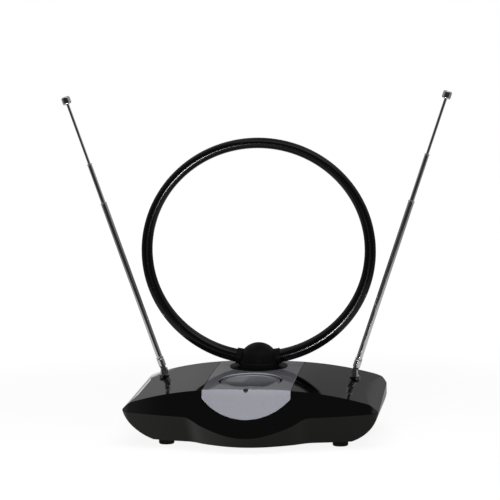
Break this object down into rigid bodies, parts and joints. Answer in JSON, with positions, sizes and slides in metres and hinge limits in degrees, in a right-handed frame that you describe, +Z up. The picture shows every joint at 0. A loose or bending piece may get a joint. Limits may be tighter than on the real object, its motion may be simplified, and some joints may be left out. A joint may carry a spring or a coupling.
{
  "type": "indoor antenna",
  "caption": "Tabletop indoor antenna: a glossy moulded base with a silver panel and gain dial, a loop on a turning domed turret, and swivelling telescopic rods.",
  "frame": {"origin": "middle of the footprint, on the table under the feet", "axes": "+X to the right along the base seen from the front, +Y from the front to the back, +Z up"},
  "size_m": [0.3381, 0.1546, 0.2977],
  "materials": {
    "case": "gloss black",
    "silver": "satin silver lacquer",
    "lens": "dark smoked lens",
    "board": "green board",
    "plain": "plain moulded plastic",
    "rubber": "matt black rubber",
    "bright": "nickel plate",
    "bush": "gloss black",
    "chrome": "bright chrome plate",
    "cap": "bright chrome plate"
  },
  "bodies": {
    "base": {"top_cover": "case", "bottom_cover": "case", "trim_panel": "silver", "indicator_lamp": "lens", "circuit_board": "board", "gain_control": "plain", "foot_front_left": "rubber", "foot_front_right": "rubber", "foot_rear_left": "rubber", "foot_rear_right": "rubber", "coax_socket": "bright", "socket_insulator": "plain", "turret_seat": "case", "rod_bushing_left": "bush", "rod_bushing_right": "bush"},
    "loop": {"loop_turret": "case", "loop_ring": "case", "loop_collar_left": "case", "loop_collar_right": "case", "turret_retainer": "plain"},
    "dial": {"gain_dial": "silver"},
    "swivel_left": {"rod_swivel_left": "chrome", "swivel_nut_left": "chrome", "pivot_pin_left": "chrome"},
    "outer_left": {"rod_knuckle_left": "chrome", "outer_tube_left": "chrome"},
    "middle_left": {"middle_tube_left": "chrome"},
    "inner_left": {"inner_rod_left": "chrome", "tip_cap_left": "cap"},
    "swivel_right": {"rod_swivel_right": "chrome", "swivel_nut_right": "chrome", "pivot_pin_right": "chrome"},
    "outer_right": {"rod_knuckle_right": "chrome", "outer_tube_right": "chrome"},
    "middle_right": {"middle_tube_right": "chrome"},
    "inner_right": {"inner_rod_right": "chrome", "tip_cap_right": "cap"}
  },
  "joints": [
    {"name": "loop_turn", "type": "hinge", "parent": "base", "child": "loop", "pos_m": [0, 0.023, 0.06298], "axis": [0, 0, 1], "range_deg": [-90, 90]},
    {"name": "gain_turn", "type": "hinge", "parent": "base", "child": "dial", "pos_m": [0, -0.03404, 0.05661], "axis": [0, -0.1103, 0.9939], "range_deg": [-135, 135]},
    {"name": "left_rod_turn", "type": "hinge", "parent": "base", "child": "swivel_left", "pos_m": [-0.0831, 0.023, 0.05294], "axis": [0, 0, 1], "range_deg": [-90, 90]},
    {"name": "left_rod_tilt", "type": "hinge", "parent": "swivel_left", "child": "outer_left", "pos_m": [-0.0831, 0.023, 0.05724], "axis": [0, -1, 0], "range_deg": [-4.5, 69]},
    {"name": "left_middle_slide", "type": "slide", "parent": "outer_left", "child": "middle_left", "axis": [-0.3355, 0, 0.9421], "range_m": [-0.0345, 0.09]},
    {"name": "left_inner_slide", "type": "slide", "parent": "middle_left", "child": "inner_left", "axis": [-0.3355, 0, 0.9421], "range_m": [-0.0535, 0.068]},
    {"name": "right_rod_turn", "type": "hinge", "parent": "base", "child": "swivel_right", "pos_m": [0.0831, 0.023, 0.05294], "axis": [0, 0, 1], "range_deg": [-90, 90]},
    {"name": "right_rod_tilt", "type": "hinge", "parent": "swivel_right", "child": "outer_right", "pos_m": [0.0831, 0.023, 0.05724], "axis": [0, 1, 0], "range_deg": [-3.5, 70]},
    {"name": "right_middle_slide", "type": "slide", "parent": "outer_right", "child": "middle_right", "axis": [0.319, 0, 0.9478], "range_m": [-0.0405, 0.084]},
    {"name": "right_inner_slide", "type": "slide", "parent": "middle_right", "child": "inner_right", "axis": [0.319, 0, 0.9478], "range_m": [-0.0475, 0.074]}
  ]
}
